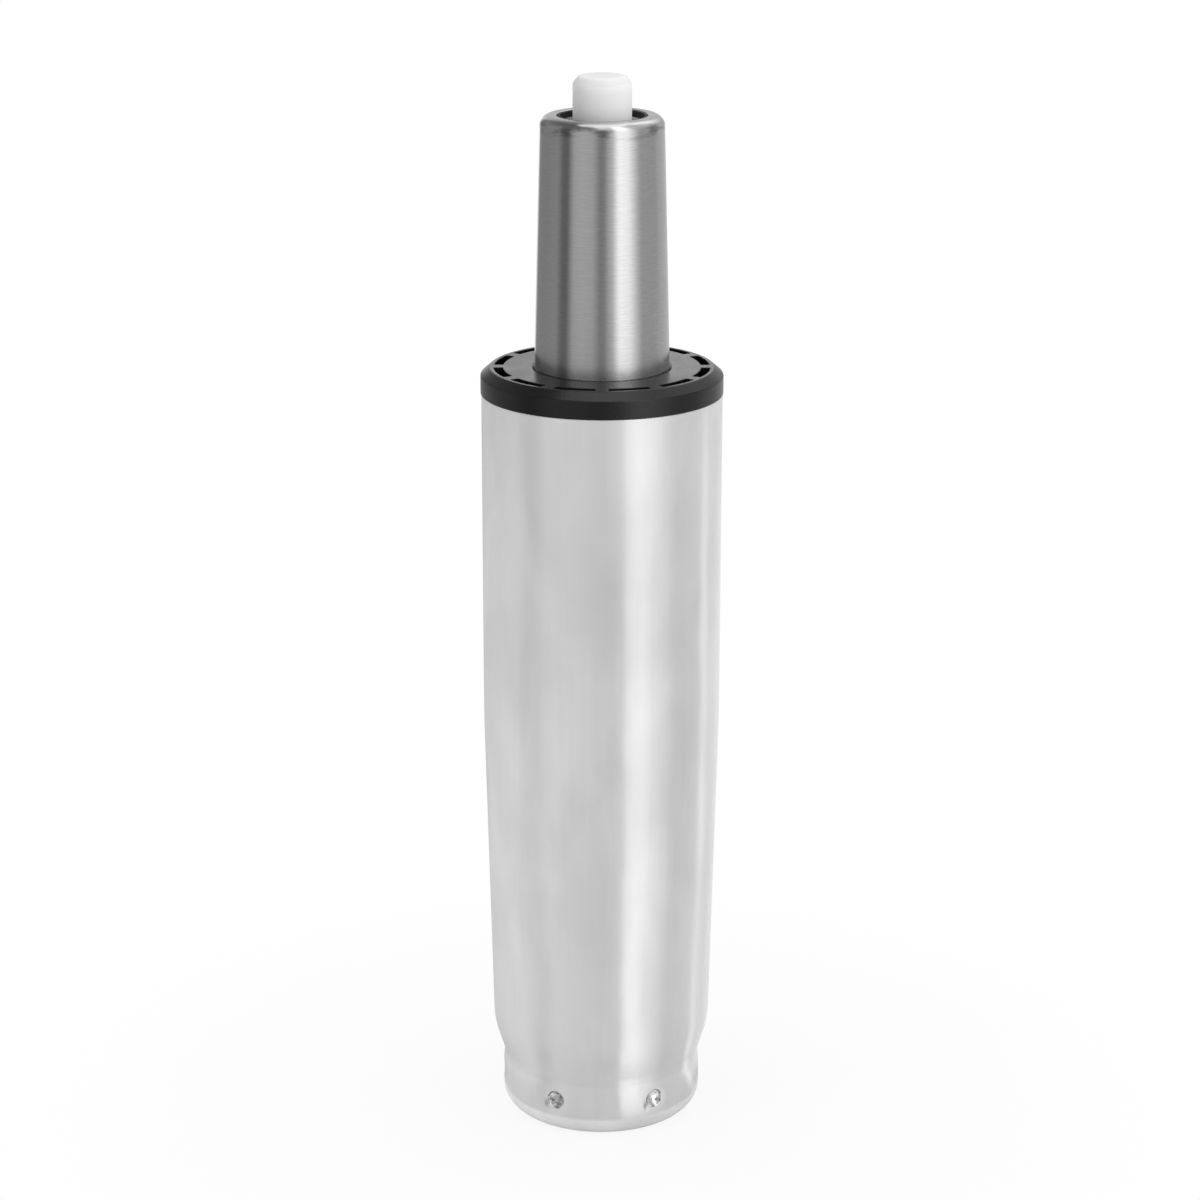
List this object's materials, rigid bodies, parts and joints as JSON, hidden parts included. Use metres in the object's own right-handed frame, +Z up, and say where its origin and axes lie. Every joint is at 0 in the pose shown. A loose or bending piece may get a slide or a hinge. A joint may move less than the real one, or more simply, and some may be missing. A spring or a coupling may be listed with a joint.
{
  "type": "chair gas lift cylinder",
  "caption": "Height-adjustable swivelling column for a chair: tapered steel tube with a slotted collar, a sliding pressure cylinder and a release button.",
  "frame": {"origin": "centre of the rolled rim's underside, where the lowered column stands on a table", "axes": "+Z up along the lift axis towards the release button; -Y is the side that the picture shows"},
  "size_m": [0.0502, 0.0502, 0.225],
  "materials": {
    "tube_steel": "satin, drawn lengthwise",
    "collar_plastic": "satin black moulding",
    "plate_steel": "zinc plated",
    "bearing_steel": "ground",
    "retainer_plastic": "natural nylon",
    "black_rubber": "matt",
    "rod_chrome": "polished",
    "clip_steel": "oiled spring steel",
    "turned_aluminium": "turned",
    "guide_plastic": "natural acetal",
    "cylinder_steel": "brushed round the axis",
    "washer_zinc": "matt zinc",
    "button_plastic": "satin milky white"
  },
  "bodies": {
    "column": {"outer_tube": "tube_steel", "guide_sleeve": "collar_plastic", "bottom_plate": "plate_steel", "lower_race": "bearing_steel"},
    "ball_set": {"ball_retainer": "retainer_plastic", "bearing_balls": "bearing_steel"},
    "rod": {"piston_rod": "rod_chrome", "upper_race": "bearing_steel", "rubber_bumper": "black_rubber", "bumper_washer": "plate_steel", "rod_clip": "clip_steel", "clip_washer": "plate_steel", "piston": "turned_aluminium", "piston_seal": "black_rubber", "piston_ring": "guide_plastic", "piston_nut": "clip_steel"},
    "cylinder": {"pressure_cylinder": "cylinder_steel", "inner_tube": "bearing_steel", "rod_guide": "guide_plastic", "rod_seal": "black_rubber", "seal_washer": "plate_steel", "valve_body": "turned_aluminium", "body_o_rings": "black_rubber", "pin_o_ring": "black_rubber", "top_washer": "washer_zinc", "dust_ring": "black_rubber"},
    "button": {"release_button": "button_plastic", "valve_pin": "rod_chrome"}
  },
  "joints": [
    {"name": "swivel", "type": "hinge", "parent": "column", "child": "rod", "pos_m": [0, 0, 0.0145], "axis": [0, 0, 1], "continuous": true},
    {"name": "ball_set_spin", "type": "hinge", "parent": "column", "child": "ball_set", "pos_m": [0, 0, 0.0145], "axis": [0, 0, 1], "continuous": true},
    {"name": "lift", "type": "slide", "parent": "rod", "child": "cylinder", "axis": [0, 0, 1], "range_m": [0, 0.06]},
    {"name": "button_press", "type": "slide", "parent": "cylinder", "child": "button", "axis": [0, 0, -1], "range_m": [0, 0.003], "stiffness_N_per_m": 1500, "springref_m": -0.005}
  ],
  "couplings": [
    {"joint": "ball_set_spin", "follows": "swivel", "ratio": 0.5}
  ]
}
